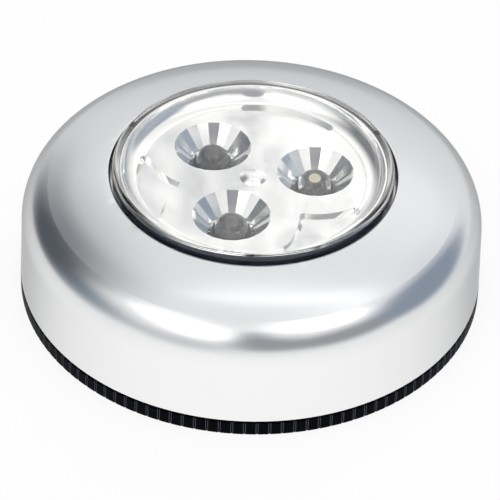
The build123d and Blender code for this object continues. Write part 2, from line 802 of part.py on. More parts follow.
def make_solder(wires):
    """Solder domes on the board, each cut flat just short of the end of its wire."""
    joints = []
    for side, tab_x in wires:
        x, y, z = wire_route(side, tab_x)[-1]
        dome = Sphere(solder_d / 2) & rod(solder_d / 2, 0, solder_d)
        y -= side * wire_gap
        dome = Pos(x, y, board_top_z) * dome
        y0, y1 = sorted((y, y + side * solder_d))
        joints.append(dome - slab(x - solder_d, x + solder_d, y0, y1, z - solder_d, z + solder_d))
    return group(joints)


def group(shapes):
    """Separate solids kept in one node."""
    return Compound(children=list(shapes))


def build():
    """Every piece of the light by name."""
    frame, dot, body = lead_frame(), phosphor_dot(), led_body()
    nodes = {
        "housing": make_housing(),
        "base": make_base(),
        "foam_pad": rod(pad_r, liner_t, pad_recess),
        "release_liner": rod(pad_r, 0, liner_t),
        "battery_tray": make_tray(),
        "contact_positive": make_contact("contact_positive", dimple_x=cell_pitch),
        "contact_bridge_rear": make_contact("contact_bridge_rear", dimple_x=-cell_pitch, spring_x=0),
        "contact_negative": make_contact("contact_negative", spring_x=-cell_pitch),
        "contact_bridge_front": make_contact("contact_bridge_front", dimple_x=0, spring_x=cell_pitch),
        "switch_body": make_switch_body(),
        "switch_plunger": make_plunger(),
        "switch_spring": make_switch_spring(),
        "switch_terminals": make_switch_terminals(),
        "resistor": make_resistor(),
        "reflector": make_reflector(),
        "lens": make_lens(),
    }
    for k, (x, side) in enumerate([(-cell_pitch, 1), (0, -1), (cell_pitch, 1)], start=1):
        nodes[f"cell_{k}"] = make_cell(x, side)
    for k, place in enumerate(led_places(), start=1):
        nodes[f"led_{k}"] = place * body
        nodes[f"led_leads_{k}"] = place * frame
        nodes[f"led_phosphor_{k}"] = place * dot
    standing = [place * frame for place in led_places()]
    standing += [nodes["resistor"], nodes["switch_terminals"]]
    nodes["circuit_board"] = make_board(standing)

    small = screw(board_screw_d, board_screw_head_d, board_screw_head_h, board_screw_l)
    nodes["board_screws"] = group(Pos(x, y, board_top_z) * small for x, y in board_screw_places())
    large = Rot(180, 0, 0) * screw(tray_screw_d, tray_screw_head_d, tray_screw_head_h, tray_screw_l)
    nodes["tray_screws"] = group(Pos(x, y, board_z - ear_t) * large for x, y in ear_places())

    nodes["wire_red"] = make_wire(1, cell_pitch)
    nodes["wire_black"] = make_wire(-1, -cell_pitch)
    nodes["solder_joints"] = make_solder([(1, cell_pitch), (-1, -cell_pitch)])
    return nodes


os.makedirs("parts", exist_ok=True)
for node, shape in build().items():
    export_step(shape, f"parts/{node}.step")
print(f"height {lens_top_z:.2f} mm, opening {2 * opening_r:.1f} mm, cells {cell_l:.1f} mm long")
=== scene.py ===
# %% [markdown]
# # A touch light, dressed
#
# The light is a round silver dome on a black ribbed base. Its clear front is the button: behind it
# a mirror-bright reflector holds three clear LEDs, each in a faceted well. The solids come packed
# from the CAD model. This lesson leaves them where they are, gives each its finish, and replaces
# three kinds of piece: the clear LED bodies, which have to be whole to bend light, the spring in the
# switch, which closes up when the front is pressed, and the foam pad under the base.

# %% Load the imported model
import math

import bmesh
import bpy
from mathutils import Matrix, Vector


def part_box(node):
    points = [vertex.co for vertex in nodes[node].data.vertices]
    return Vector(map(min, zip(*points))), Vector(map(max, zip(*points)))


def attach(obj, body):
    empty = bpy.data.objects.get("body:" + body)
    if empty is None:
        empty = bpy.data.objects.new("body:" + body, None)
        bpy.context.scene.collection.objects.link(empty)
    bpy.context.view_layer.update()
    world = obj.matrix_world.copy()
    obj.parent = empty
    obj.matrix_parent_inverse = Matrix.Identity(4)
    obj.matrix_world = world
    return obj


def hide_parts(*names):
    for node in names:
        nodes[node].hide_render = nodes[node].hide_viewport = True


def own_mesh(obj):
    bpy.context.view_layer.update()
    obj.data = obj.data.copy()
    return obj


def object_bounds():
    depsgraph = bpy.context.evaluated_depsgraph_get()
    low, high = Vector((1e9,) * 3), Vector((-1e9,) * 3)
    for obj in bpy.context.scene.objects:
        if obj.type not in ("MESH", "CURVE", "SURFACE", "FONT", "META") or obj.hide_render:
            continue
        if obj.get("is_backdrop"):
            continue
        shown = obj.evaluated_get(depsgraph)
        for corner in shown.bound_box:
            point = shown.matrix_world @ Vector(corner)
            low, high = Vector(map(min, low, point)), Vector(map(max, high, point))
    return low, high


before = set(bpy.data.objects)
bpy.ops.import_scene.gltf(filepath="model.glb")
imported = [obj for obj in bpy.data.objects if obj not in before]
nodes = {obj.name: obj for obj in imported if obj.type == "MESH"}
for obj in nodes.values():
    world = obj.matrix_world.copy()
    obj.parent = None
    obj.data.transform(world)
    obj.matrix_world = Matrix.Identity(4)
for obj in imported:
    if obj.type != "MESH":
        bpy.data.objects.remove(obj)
cad_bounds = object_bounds()

# %% [markdown]
# ## Working in millimetres
#
# Blender counts in metres, but every size of a small light is easier to read in millimetres, so a
# length is written as a count of `MM`. Colours are picked as the eye sees them, as hex values in
# sRGB, while Blender mixes light in linear values, so one function turns the first into the second.

# %% Units and colours
MM = 0.001


def linear(hex_colour):
    """An sRGB hex colour as the linear RGBA that Blender's sockets take."""
    channels = [int(hex_colour[k:k + 2], 16) / 255 for k in (1, 3, 5)]
    return tuple(c / 12.92 if c <= 0.04045 else ((c + 0.055) / 1.055) ** 2.4 for c in channels) + (1.0,)


def corners_mm(name):
    """The lowest and highest corner of a node in millimetres."""
    low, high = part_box(name)
    return low / MM, high / MM


print("a mid grey in linear light:", [round(c, 3) for c in linear("#808080")])

# %% [markdown]
# ## One way to build a finish
#
# A finish is a small network of nodes. `add` puts one node in the network, sets what it is told and
# links what it is given, and that is all the plumbing this lesson needs. Every pattern is placed by
# the object's own coordinates, so it stays on its piece when the piece turns or is pressed.

# %% The helpers for finishes
def new_material(name):
    """An empty material and its network."""
    material = bpy.data.materials.new(name)
    material.use_nodes = True
    material.node_tree.nodes.clear()
    return material, material.node_tree


def add(tree, kind, inputs=None, **settings):
    """One node with its settings, and with each input linked or set."""
    node = tree.nodes.new(kind)
    for key, value in settings.items():
        setattr(node, key, value)
    for key, value in (inputs or {}).items():
        if isinstance(value, bpy.types.NodeSocket):
            tree.links.new(value, node.inputs[key])
        else:
            node.inputs[key].default_value = value
    return node


def from_axis(tree, place):
    """The distance from the light's axis, in metres."""
    flat = add(tree, "ShaderNodeVectorMath", {0: place, 1: (1, 1, 0)}, operation="MULTIPLY")
    return add(tree, "ShaderNodeVectorMath", {0: flat.outputs[0]}, operation="LENGTH").outputs["Value"]


def wear(material, *names):
    """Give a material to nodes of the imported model."""
    for name in names:
        mesh = nodes[name].data
        mesh.materials.clear()
        mesh.materials.append(material)
    print(f"{material.name}: {', '.join(names)}")


# %% [markdown]
# ## Silver lacquer on ABS
#
# The dome is moulded ABS, sprayed outside with a silver metallic lacquer. Aluminium flakes lie flat
# in the wet paint, so it mirrors its surroundings softly, with no sharp second image in a thick coat.
# The inside of the moulding stays bare, dark plastic, which is why the slit round the lens looks
# black. The paint is where the surface faces away from the middle of the dome. That can be worked
# out from the place and the normal, so no face has to be picked by hand.

# %% The silver dome
# Painted light: the silver is lighter on the wall than on the front, mixed by how steep the surface is
lacquer_front_hex = "#DBDDDF"
lacquer_wall_painted_light_hex = "#F1F1F0"
bare_abs_hex = "#242833"
glancing_hex = "#C4C6C8"
flake_share = 0.92
painted_rough = 0.21
bare_rough = 0.42
edge_fade = 0.06
peel_width = 1.6 * MM
peel_depth = 0.0006 * MM
dome_middle = (0, 0, 6 * MM)
# The real front runs into the shoulder with no seam in its curve, where the solid joins two arcs: a
# shallow fall across the join eases the reflections
ease_from, ease_to = 25.5 * MM, 33.0 * MM
ease_depth = 0.22 * MM


def silver_lacquer():
    """Silver paint outside, bare dark ABS inside."""
    material, tree = new_material("silver_lacquer_on_abs")
    place = add(tree, "ShaderNodeTexCoord").outputs["Object"]
    normal = add(tree, "ShaderNodeTexCoord").outputs["Normal"]
    outwards = add(tree, "ShaderNodeVectorMath", {0: place, 1: dome_middle}, operation="SUBTRACT")
    outwards = add(tree, "ShaderNodeVectorMath", {0: outwards.outputs[0]}, operation="NORMALIZE")
    facing = add(tree, "ShaderNodeVectorMath", {0: outwards.outputs[0], 1: normal}, operation="DOT_PRODUCT")
    painted = add(tree, "ShaderNodeMapRange", {"Value": facing.outputs["Value"], "From Min": 0.0,
                                               "From Max": edge_fade})
    flat = add(tree, "ShaderNodeSeparateXYZ", {0: normal})
    # Painted light: the colour runs from the front's silver to the lighter wall's as the surface steepens
    silver = add(tree, "ShaderNodeMix", {0: flat.outputs[2], 6: linear(lacquer_wall_painted_light_hex),
                                         7: linear(lacquer_front_hex)}, data_type="RGBA")
    colour = add(tree, "ShaderNodeMix", {0: painted.outputs[0], 6: linear(bare_abs_hex),
                                         7: silver.outputs[2]}, data_type="RGBA")
    metallic = add(tree, "ShaderNodeMapRange", {"Value": painted.outputs[0], "To Max": flake_share})
    rough = add(tree, "ShaderNodeMapRange", {"Value": painted.outputs[0], "To Min": bare_rough,
                                             "To Max": painted_rough})
    peel = add(tree, "ShaderNodeTexNoise", {"Vector": place, "Scale": 1 / peel_width, "Detail": 2.0})
    bump = add(tree, "ShaderNodeBump", {"Height": peel.outputs[0], "Strength": 1.0,
                                        "Distance": peel_depth})
    radius = from_axis(tree, place)
    fall = add(tree, "ShaderNodeMapRange", {"Value": radius, "From Min": ease_from, "From Max": ease_to,
                                            "To Min": 1.0, "To Max": 0.0},
               interpolation_type="SMOOTHERSTEP")
    eased = add(tree, "ShaderNodeBump", {"Height": fall.outputs[0], "Strength": 1.0,
                                         "Distance": ease_depth, "Normal": bump.outputs[0]})
    shader = add(tree, "ShaderNodeBsdfPrincipled", {
        "Base Color": colour.outputs[2], "Metallic": metallic.outputs[0], "Roughness": rough.outputs[0],
        "Specular Tint": linear(glancing_hex), "Normal": eased.outputs[0]})
    add(tree, "ShaderNodeOutputMaterial", {"Surface": shader.outputs[0]})
    return material


wear(silver_lacquer(), "housing")

# %% [markdown]
# ## Moulded plastics
#
# Most small pieces are injection-moulded. A tool that was spark-eroded leaves a fine grain on them,
# which scatters the highlight, and the plastic itself is never quite even in colour. One function
# makes them all from two neighbouring colours, a roughness and the grain's real size.

# %% A function for moulded pieces
cloud_grains = 12
rough_spread = 0.06


def moulded(name, hex_light, hex_dark, roughness, grain, depth, ior=1.53):
    """A moulded plastic with an even grain."""
    material, tree = new_material(name)
    place = add(tree, "ShaderNodeTexCoord").outputs["Object"]
    cloud = add(tree, "ShaderNodeTexNoise", {"Vector": place, "Scale": 1 / (cloud_grains * grain),
                                             "Detail": 4.0})
    colour = add(tree, "ShaderNodeMix", {0: cloud.outputs[0], 6: linear(hex_light), 7: linear(hex_dark)},
                 data_type="RGBA")
    pits = add(tree, "ShaderNodeTexNoise", {"Vector": place, "Scale": 1 / grain, "Detail": 3.0})
    rough = add(tree, "ShaderNodeMapRange", {"Value": pits.outputs[0], "To Min": roughness - rough_spread,
                                             "To Max": roughness + rough_spread})
    bump = add(tree, "ShaderNodeBump", {"Height": pits.outputs[0], "Strength": 1.0, "Distance": depth})
    shader = add(tree, "ShaderNodeBsdfPrincipled", {
        "Base Color": colour.outputs[2], "Roughness": rough.outputs[0], "IOR": ior,
        "Normal": bump.outputs[0]})
    add(tree, "ShaderNodeOutputMaterial", {"Surface": shader.outputs[0]})
    return material


wear(moulded("white_abs_tray", "#E4E3DE", "#DAD9D3", 0.45, 0.3 * MM, 0.003 * MM), "battery_tray")
wear(moulded("black_nylon_switch", "#1B1C1E", "#131415", 0.5, 0.15 * MM, 0.002 * MM), "switch_body")
wear(moulded("white_acetal_plunger", "#EAE8DF", "#E0DED4", 0.3, 0.2 * MM, 0.001 * MM), "switch_plunger")
wear(moulded("red_pvc_wire", "#C1201C", "#AE1A17", 0.35, 0.2 * MM, 0.001 * MM), "wire_red")
wear(moulded("black_pvc_wire", "#1A1A1B", "#121213", 0.35, 0.2 * MM, 0.001 * MM), "wire_black")

# %% [markdown]
# The base is black ABS too, with a matt grip: flat ribs with narrow grooves between them. Thin paler
# lines run up beside each groove: painted highlights on the edges of the ribs. An angle that starts
# again at every groove gives the distance from it, whatever the rib.

# %% The ribbed base
rib_count = 120
rib_step = 2 * math.pi / rib_count
groove_half = 0.11 * MM
highlight_width = 0.08 * MM
grip_r = 33.8 * MM
base_hex = "#040509"
rib_edge_highlight_hex = "#585C69"
base_grain = 0.3 * MM
base_grain_depth = 0.004 * MM
smooth_rib, coarse_rib = 0.4, 0.55
rib_gloss = 0.02


def black_abs_with_painted_highlights():
    """Black ABS with painted highlights: paler lines along the ribs' edges."""
    material, tree = new_material("black_abs_ribbed_base")
    place = add(tree, "ShaderNodeTexCoord").outputs["Object"]
    parts = add(tree, "ShaderNodeSeparateXYZ", {0: place})
    angle = add(tree, "ShaderNodeMath", {0: parts.outputs[1], 1: parts.outputs[0]}, operation="ARCTAN2")
    near = add(tree, "ShaderNodeMath", {0: angle.outputs[0], 1: rib_step / 2, 2: -rib_step / 2},
               operation="WRAP")
    off = add(tree, "ShaderNodeMath", {0: near.outputs[0]}, operation="ABSOLUTE")
    radius = from_axis(tree, place)
    away = add(tree, "ShaderNodeMath", {0: off.outputs[0], 1: radius}, operation="MULTIPLY")
    # Painted highlights: a paler line on each rib's edge beside a groove
    rib_highlight = add(tree, "ShaderNodeMath", {0: away.outputs[0], 1: groove_half + highlight_width / 2,
                                          2: highlight_width / 2}, operation="COMPARE")
    grip = add(tree, "ShaderNodeMath", {0: radius, 1: grip_r}, operation="GREATER_THAN")
    line = add(tree, "ShaderNodeMath", {0: rib_highlight.outputs[0], 1: grip.outputs[0]}, operation="MULTIPLY")
    colour = add(tree, "ShaderNodeMix", {0: line.outputs[0], 6: linear(base_hex), 7: linear(rib_edge_highlight_hex)},
                 data_type="RGBA")
    grain = add(tree, "ShaderNodeTexNoise", {"Vector": place, "Scale": 1 / base_grain, "Detail": 3.0})
    rough = add(tree, "ShaderNodeMapRange", {"Value": grain.outputs[0], "To Min": smooth_rib,
                                             "To Max": coarse_rib})
    bump = add(tree, "ShaderNodeBump", {"Height": grain.outputs[0], "Strength": 1.0,
                                        "Distance": base_grain_depth})
    shader = add(tree, "ShaderNodeBsdfPrincipled", {
        "Base Color": colour.outputs[2], "Roughness": rough.outputs[0], "IOR": 1.53,
        "Specular IOR Level": rib_gloss, "Normal": bump.outputs[0]})
    add(tree, "ShaderNodeOutputMaterial", {"Surface": shader.outputs[0]})
    return material


wear(black_abs_with_painted_highlights(), "base")

# %% [markdown]
# ## Plated metals
#
# Contacts, leads, springs and screws are steel or copper under a thin plating. Plating is bright but
# follows the rolled or drawn metal below it, so its mirror is broken into fine streaks and specks.
# Again one function serves them all, with a colour pair, a roughness and the size of the specks.

# %% A function for plated pieces
speck_spread = 0.08


def plated(name, hex_light, hex_dark, roughness, speck, depth):
    """A plated or bare metal with fine specks."""
    material, tree = new_material(name)
    place = add(tree, "ShaderNodeTexCoord").outputs["Object"]
    specks = add(tree, "ShaderNodeTexNoise", {"Vector": place, "Scale": 1 / speck, "Detail": 4.0})
    colour = add(tree, "ShaderNodeMix", {0: specks.outputs[0], 6: linear(hex_light), 7: linear(hex_dark)},
                 data_type="RGBA")
    rough = add(tree, "ShaderNodeMapRange", {"Value": specks.outputs[0], "To Min": roughness - speck_spread,
                                             "To Max": roughness + speck_spread})
    bump = add(tree, "ShaderNodeBump", {"Height": specks.outputs[0], "Strength": 1.0, "Distance": depth})
    shader = add(tree, "ShaderNodeBsdfPrincipled", {
        "Base Color": colour.outputs[2], "Metallic": 1.0, "Roughness": rough.outputs[0],
        "Normal": bump.outputs[0]})
    add(tree, "ShaderNodeOutputMaterial", {"Surface": shader.outputs[0]})
    return material


wear(plated("nickel_plated_spring_steel", "#D2CFC8", "#BFBBB2", 0.25, 0.3 * MM, 0.001 * MM),
     "contact_positive", "contact_negative", "contact_bridge_front", "contact_bridge_rear")
# The lead frames are a dark, dull silver, so the cups look dull through the epoxy
wear(plated("dark_silver_lead_frame", "#707176", "#5A5B60", 0.34, 0.15 * MM, 0.0005 * MM),
     "led_leads_1", "led_leads_2", "led_leads_3")
wear(plated("silver_plated_terminals", "#E3E1DC", "#CFCCC5", 0.22, 0.15 * MM, 0.0005 * MM),
     "switch_terminals")
spring_wire = plated("stainless_spring_wire", "#C9C8C5", "#B4B3AF", 0.25, 0.1 * MM, 0.0005 * MM)
wear(spring_wire, "switch_spring")
wear(plated("zinc_plated_screws", "#B9BDC1", "#A2A7AC", 0.32, 0.25 * MM, 0.001 * MM),
     "board_screws", "tray_screws")
wear(plated("tin_solder", "#D6D7D8", "#BFC1C3", 0.3, 0.3 * MM, 0.002 * MM), "solder_joints")

# %% [markdown]
# ## Metallised reflector
#
# The reflector is ABS with a film of aluminium, evaporated on to it in a vacuum. The film is a true
# mirror, but it copies every sink mark and flow line of the moulding, so reflections in it wander
# and swirl. A slow wave as wide as a well and a fine one of a millimetre or so bend the normal a
# little, as those marks do.

# %% The mirror plate
# The vapour comes from the front: beyond the rim the film is thin and dull, bluish where the wall is
# steep, and the back stays bare
aluminium_film_hex = "#F6F6F5"
thin_film_hex = "#C4D0EA"
bare_back_hex = "#15171C"
film_edge_r = 19.3 * MM
steep_below = 0.5
back_below = -0.1
edge_dulling = 0.35
bright_film, dull_film = 0.03, 0.09
sink_width = 9.0 * MM
sink_depth = 0.1 * MM
flow_width = 1.4 * MM
flow_depth = 0.0012 * MM


def metallised_abs():
    """An aluminium film on the front of moulded black ABS."""
    material, tree = new_material("aluminium_metallised_abs")
    place = add(tree, "ShaderNodeTexCoord").outputs["Object"]
    radius = from_axis(tree, place)
    outside = add(tree, "ShaderNodeMath", {0: radius, 1: film_edge_r}, operation="GREATER_THAN")
    level = add(tree, "ShaderNodeSeparateXYZ", {0: add(tree, "ShaderNodeTexCoord").outputs["Normal"]})
    film = add(tree, "ShaderNodeMath", {0: level.outputs[2], 1: back_below}, operation="GREATER_THAN")
    steep = add(tree, "ShaderNodeMath", {0: level.outputs[2], 1: steep_below}, operation="LESS_THAN")
    thin = add(tree, "ShaderNodeMath", {0: outside.outputs[0], 1: steep.outputs[0]}, operation="MULTIPLY")
    front = add(tree, "ShaderNodeMix", {0: thin.outputs[0], 6: linear(aluminium_film_hex),
                                        7: linear(thin_film_hex)}, data_type="RGBA")
    colour = add(tree, "ShaderNodeMix", {0: film.outputs[0], 6: linear(bare_back_hex),
                                         7: front.outputs[2]}, data_type="RGBA")
    sink = add(tree, "ShaderNodeTexNoise", {"Vector": place, "Scale": 1 / sink_width, "Detail": 0.6})
    flow = add(tree, "ShaderNodeTexNoise", {"Vector": place, "Scale": 1 / flow_width, "Detail": 2.0})
    slow = add(tree, "ShaderNodeBump", {"Height": sink.outputs[0], "Strength": 1.0, "Distance": sink_depth})
    both = add(tree, "ShaderNodeBump", {"Height": flow.outputs[0], "Strength": 1.0,
                                        "Distance": flow_depth, "Normal": slow.outputs[0]})
    rough = add(tree, "ShaderNodeMapRange", {"Value": flow.outputs[0], "To Min": bright_film,
                                             "To Max": dull_film})
    dull = add(tree, "ShaderNodeMath", {0: outside.outputs[0], 1: edge_dulling, 2: rough.outputs[0]},
               operation="MULTIPLY_ADD")
    shader = add(tree, "ShaderNodeBsdfPrincipled", {
        "Base Color": colour.outputs[2], "Metallic": film.outputs[0], "Roughness": dull.outputs[0],
        "Normal": both.outputs[0]})
    add(tree, "ShaderNodeOutputMaterial", {"Surface": shader.outputs[0]})
    return material


wear(metallised_abs(), "reflector")

# %% [markdown]
# ## Clear plastics
#
# The lens is polished polystyrene and the LED bodies are cast epoxy. Both bend light, so both need
# a whole, closed surface and a true index of refraction: 1.59 for polystyrene and about 1.52 for
# the epoxy. Handling leaves faint wipe marks on a clear front, which show as a slight change in how
# sharp the highlight is. The epoxy is a little smoky, as a diffusing tint makes it.

# %% A function for clear pieces
def clear_plastic(name, tint_hex, ior, roughness, mark):
    """A clear plastic with faint wipe marks."""
    material, tree = new_material(name)
    place = add(tree, "ShaderNodeTexCoord").outputs["Object"]
    marks = add(tree, "ShaderNodeTexNoise", {"Vector": place, "Scale": 1 / mark, "Detail": 3.0,
                                             "Distortion": 1.5})
    rough = add(tree, "ShaderNodeMapRange", {"Value": marks.outputs[0], "From Min": 0.4,
                                             "To Min": 0.0, "To Max": roughness})
    shader = add(tree, "ShaderNodeBsdfPrincipled", {
        "Base Color": linear(tint_hex), "Roughness": rough.outputs[0], "IOR": ior,
        "Transmission Weight": 1.0})
    add(tree, "ShaderNodeOutputMaterial", {"Surface": shader.outputs[0]})
    return material


wear(clear_plastic("clear_polystyrene_lens", "#FDFDFC", 1.59, 0.03, 6 * MM), "lens")

# %% [markdown]
# ## LEDs
#
# Each LED is a straw-hat type: a short cylinder with a low round top and a thin brim, cast in one
# piece round its two leads. In the CAD the leads are cut out of the epoxy, which leaves an inner
# skin that would bend light twice, so a whole turned body replaces it here. Its outline is spun
# round its own axis. Its foot stays a hair above the board: where two faces share one place, light
# that leaves the epoxy would already be inside the board.

# %% A lathe for turned pieces
def closed_piece(name, mesh):
    """An object from a closed mesh, with its faces turned outwards."""
    bmesh.ops.recalc_face_normals(mesh, faces=mesh.faces)
    data = bpy.data.meshes.new(name)
    mesh.to_mesh(data)
    mesh.free()
    piece = bpy.data.objects.new(name, data)
    bpy.context.scene.collection.objects.link(piece)
    return piece


def lathe(name, outline, steps, centre=(0, 0)):
    """A closed body turned from an outline of (radius, height) in millimetres that ends on the axis."""
    mesh = bmesh.new()
    rings = []
    for radius, height in outline:
        if radius == 0:
            rings.append([mesh.verts.new((centre[0] * MM, centre[1] * MM, height * MM))])
        else:
            angles = [2 * math.pi * k / steps for k in range(steps)]
            rings.append([mesh.verts.new(((centre[0] + radius * math.cos(a)) * MM,
                                          (centre[1] + radius * math.sin(a)) * MM, height * MM))
                          for a in angles])
    for low, high in zip(rings, rings[1:]):
        for k in range(steps):
            after = (k + 1) % steps
            corners = [low[0]] if len(low) == 1 else [low[k], low[after]]
            corners += [high[0]] if len(high) == 1 else [high[after], high[k]]
            mesh.faces.new(corners)
    return closed_piece(name, mesh)


# %% Rounded corners and smooth shading
def rounded(outline, corner, radius, parts=4):
    """The outline with one corner replaced by a small arc."""
    before, at, after = (Vector(outline[corner + k]) for k in (-1, 0, 1))
    start = at + (before - at).normalized() * radius
    end = at + (after - at).normalized() * radius
    arc = [start.lerp(at, t).lerp(at.lerp(end, t), t) for t in (k / parts for k in range(parts + 1))]
    return outline[:corner] + [tuple(p) for p in arc] + outline[corner + 1:]


def soften(piece, degrees=35):
    """Smooth shading that keeps the edges sharper than an angle."""
    for face in piece.data.polygons:
        face.use_smooth = True
    bpy.context.view_layer.objects.active = piece
    piece.data.set_sharp_from_angle(angle=math.radians(degrees))


# %% The LED bodies
brim_t = 1.0
brim_w = 0.4
brim_round = 0.15
dome_h = 1.6
dome_steps = 16
foot_gap = 0.03
spin_steps = 96


def led_outline(low, high):
    """The straw-hat outline from the middle of the foot to the top."""
    radius = (high.x - low.x) / 2 - brim_w
    shoulder = high.z - dome_h
    ball = (radius ** 2 + dome_h ** 2) / (2 * dome_h)
    foot = low.z + foot_gap
    points = [(0, foot), (radius + brim_w, foot), (radius + brim_w, low.z + brim_t),
              (radius, low.z + brim_t), (radius, shoulder)]
    half = math.asin(radius / ball)
    for k in range(1, dome_steps):
        angle = half * (1 - k / dome_steps)
        points.append((ball * math.sin(angle), high.z - ball + ball * math.cos(angle)))
    points.append((0, high.z))
    brim_edge = 2
    return rounded(points, brim_edge, brim_round)


epoxy = clear_plastic("clear_epoxy_led", "#D2D5DB", 1.52, 0.05, 2 * MM)
for k in (1, 2, 3):
    low, high = corners_mm(f"led_{k}")
    centre = (low + high) / 2
    body = lathe(f"led_body_{k}", led_outline(low, high), spin_steps, (centre.x, centre.y))
    soften(body)
    body.data.materials.append(epoxy)
    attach(body, "housing")
    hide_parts(f"led_{k}")
print(f"LED bodies: {high.x - low.x:.1f} mm over the brim, {high.z - low.z:.1f} mm tall")

# %% [markdown]
# The chip glows blue, and a dot of yellow phosphor over it turns that to white. Off, a fresh dot is
# what shows: a pale yellow spot in the cup. It is a resin full of powder, so it is matt and slightly
# grainy, and it scatters some light inside.

# %% The phosphor dots
# A light and a dark powder for each LED: the first one's dot is painted pale yellow as a painted highlight,
# and the other two are painted grey as painted shade
phosphor_lit_and_shaded_hexes = [("#F6F1CC", "#E6DFB2"), ("#8E8C7E", "#7B786A"), ("#8E8C7E", "#7B786A")]
# The first dot glows a little by itself though it is no lamp: a painted highlight
painted_dot_glow = [0.5, 0.0, 0.0]
powder_grain = 0.12 * MM


def phosphor(name, hex_light, hex_dark, glow):
    """Yellow powder in clear resin."""
    material, tree = new_material(name)
    place = add(tree, "ShaderNodeTexCoord").outputs["Object"]
    powder = add(tree, "ShaderNodeTexNoise", {"Vector": place, "Scale": 1 / powder_grain, "Detail": 2.0})
    colour = add(tree, "ShaderNodeMix", {0: powder.outputs[0], 6: linear(hex_light),
                                         7: linear(hex_dark)}, data_type="RGBA")
    shader = add(tree, "ShaderNodeBsdfPrincipled", {
        "Base Color": colour.outputs[2], "Roughness": 0.6, "IOR": 1.5, "Subsurface Weight": 0.3,
        "Subsurface Radius": (0.3, 0.2, 0.1), "Subsurface Scale": 0.3 * MM,
        "Emission Color": colour.outputs[2], "Emission Strength": glow})
    add(tree, "ShaderNodeOutputMaterial", {"Surface": shader.outputs[0]})
    return material


for k, (powders, glow) in enumerate(zip(phosphor_lit_and_shaded_hexes, painted_dot_glow), 1):
    wear(phosphor(f"phosphor_resin_{k}", *powders, glow), f"led_phosphor_{k}")

# %% [markdown]
# ## The switch's spring
#
# Under the plunger sits a return spring, cold-wound from stainless wire. When the front is pressed, the
# real coil closes up, which an imported solid can't do. The same coil is wound again here, as a ring
# of points swept along a helix.

# %% A function that winds a coil
ring_points = 12
turn_steps = 32


def wound(name, coil_r, wire_r, low_z, high_z, turns):
    """A closed tube along a helix, in millimetres."""
    mesh = bmesh.new()
    rings = []
    steps = round(turns * turn_steps)
    climb = (high_z - low_z) / (2 * math.pi * turns)
    for k in range(steps + 1):
        a = 2 * math.pi * turns * k / steps
        outwards = Vector((math.cos(a), math.sin(a), 0))
        along = Vector((-coil_r * math.sin(a), coil_r * math.cos(a), climb)).normalized()
        upwards = along.cross(outwards)
        middle = outwards * coil_r + Vector((0, 0, low_z + climb * a))
        ring = []
        for j in range(ring_points):
            t = 2 * math.pi * j / ring_points
            spoke = outwards * math.cos(t) + upwards * math.sin(t)
            ring.append(mesh.verts.new((middle + spoke * wire_r) * MM))
        rings.append(ring)
    for low_ring, high_ring in zip(rings, rings[1:]):
        for j in range(ring_points):
            after = (j + 1) % ring_points
            mesh.faces.new([low_ring[j], low_ring[after], high_ring[after], high_ring[j]])
    mesh.faces.new(rings[0])
    mesh.faces.new(rings[-1])
    return closed_piece(name, mesh)


# %% The coil
coil_wire = 0.25
coil_turns = 1.75
low, high = corners_mm("switch_spring")
wire_r = coil_wire / 2
coil = wound("switch_spring_coil", (high.x - low.x) / 2 - wire_r, wire_r, low.z + wire_r, high.z - wire_r,
             coil_turns)
soften(coil)
coil.data.materials.append(spring_wire)
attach(coil, "housing")
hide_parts("switch_spring")
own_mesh(coil)

# %% [markdown]
# ## Circuit board
#
# The board is paper phenolic under a black solder mask. The mask is a thin glossy lacquer, and the
# copper below it shows as slightly lighter, slightly raised paths. The paths run in straight lines,
# so a brick pattern, one brick for each stretch of copper, stands for them.

# %% The board
mask_hex = "#26282C"
copper_path_hex = "#3A3D43"
path_height = 0.03 * MM
# In the pattern's own units, which its scale makes a millimetre each
path_l, path_pitch, path_gap = 5.0, 2.2, 0.35


def solder_mask():
    """Black solder mask over copper paths."""
    material, tree = new_material("black_solder_mask")
    place = add(tree, "ShaderNodeTexCoord").outputs["Object"]
    paths = add(tree, "ShaderNodeTexBrick", {
        "Vector": place, "Scale": 1 / MM, "Color1": (1, 1, 1, 1), "Color2": (0.85, 0.85, 0.85, 1),
        "Mortar": (0, 0, 0, 1), "Mortar Size": path_gap, "Brick Width": path_l, "Row Height": path_pitch})
    colour = add(tree, "ShaderNodeMix", {0: paths.outputs["Color"], 6: linear(mask_hex),
                                         7: linear(copper_path_hex)}, data_type="RGBA")
    bump = add(tree, "ShaderNodeBump", {"Height": paths.outputs["Color"], "Strength": 0.5,
                                        "Distance": path_height})
    shader = add(tree, "ShaderNodeBsdfPrincipled", {
        "Base Color": colour.outputs[2], "Roughness": 0.28, "IOR": 1.55, "Normal": bump.outputs[0]})
    add(tree, "ShaderNodeOutputMaterial", {"Surface": shader.outputs[0]})
    return material


wear(solder_mask(), "circuit_board")

# %% [markdown]
# ## Resistor
#
# A carbon-film resistor is dipped in a beige lacquer and ringed with painted bands, of which two are
# drawn here. Along the body's own axis the bands are even stripes, so the distance along that axis,
# folded to and fro into repeating steps, draws them. The wires at its ends are tinned.

# %% The resistor
# It lies between two LEDs: 60 degrees before the first of them, which stands at 11.6
resistor_angle = math.radians(11.6 - 60)
band_pitch = 0.8 * MM
band_from = 0.65 * band_pitch
body_half = 1.7 * MM
beige_hex = "#D8C39A"
band_hex = "#7A3B22"
tinned_hex = "#C9CACB"


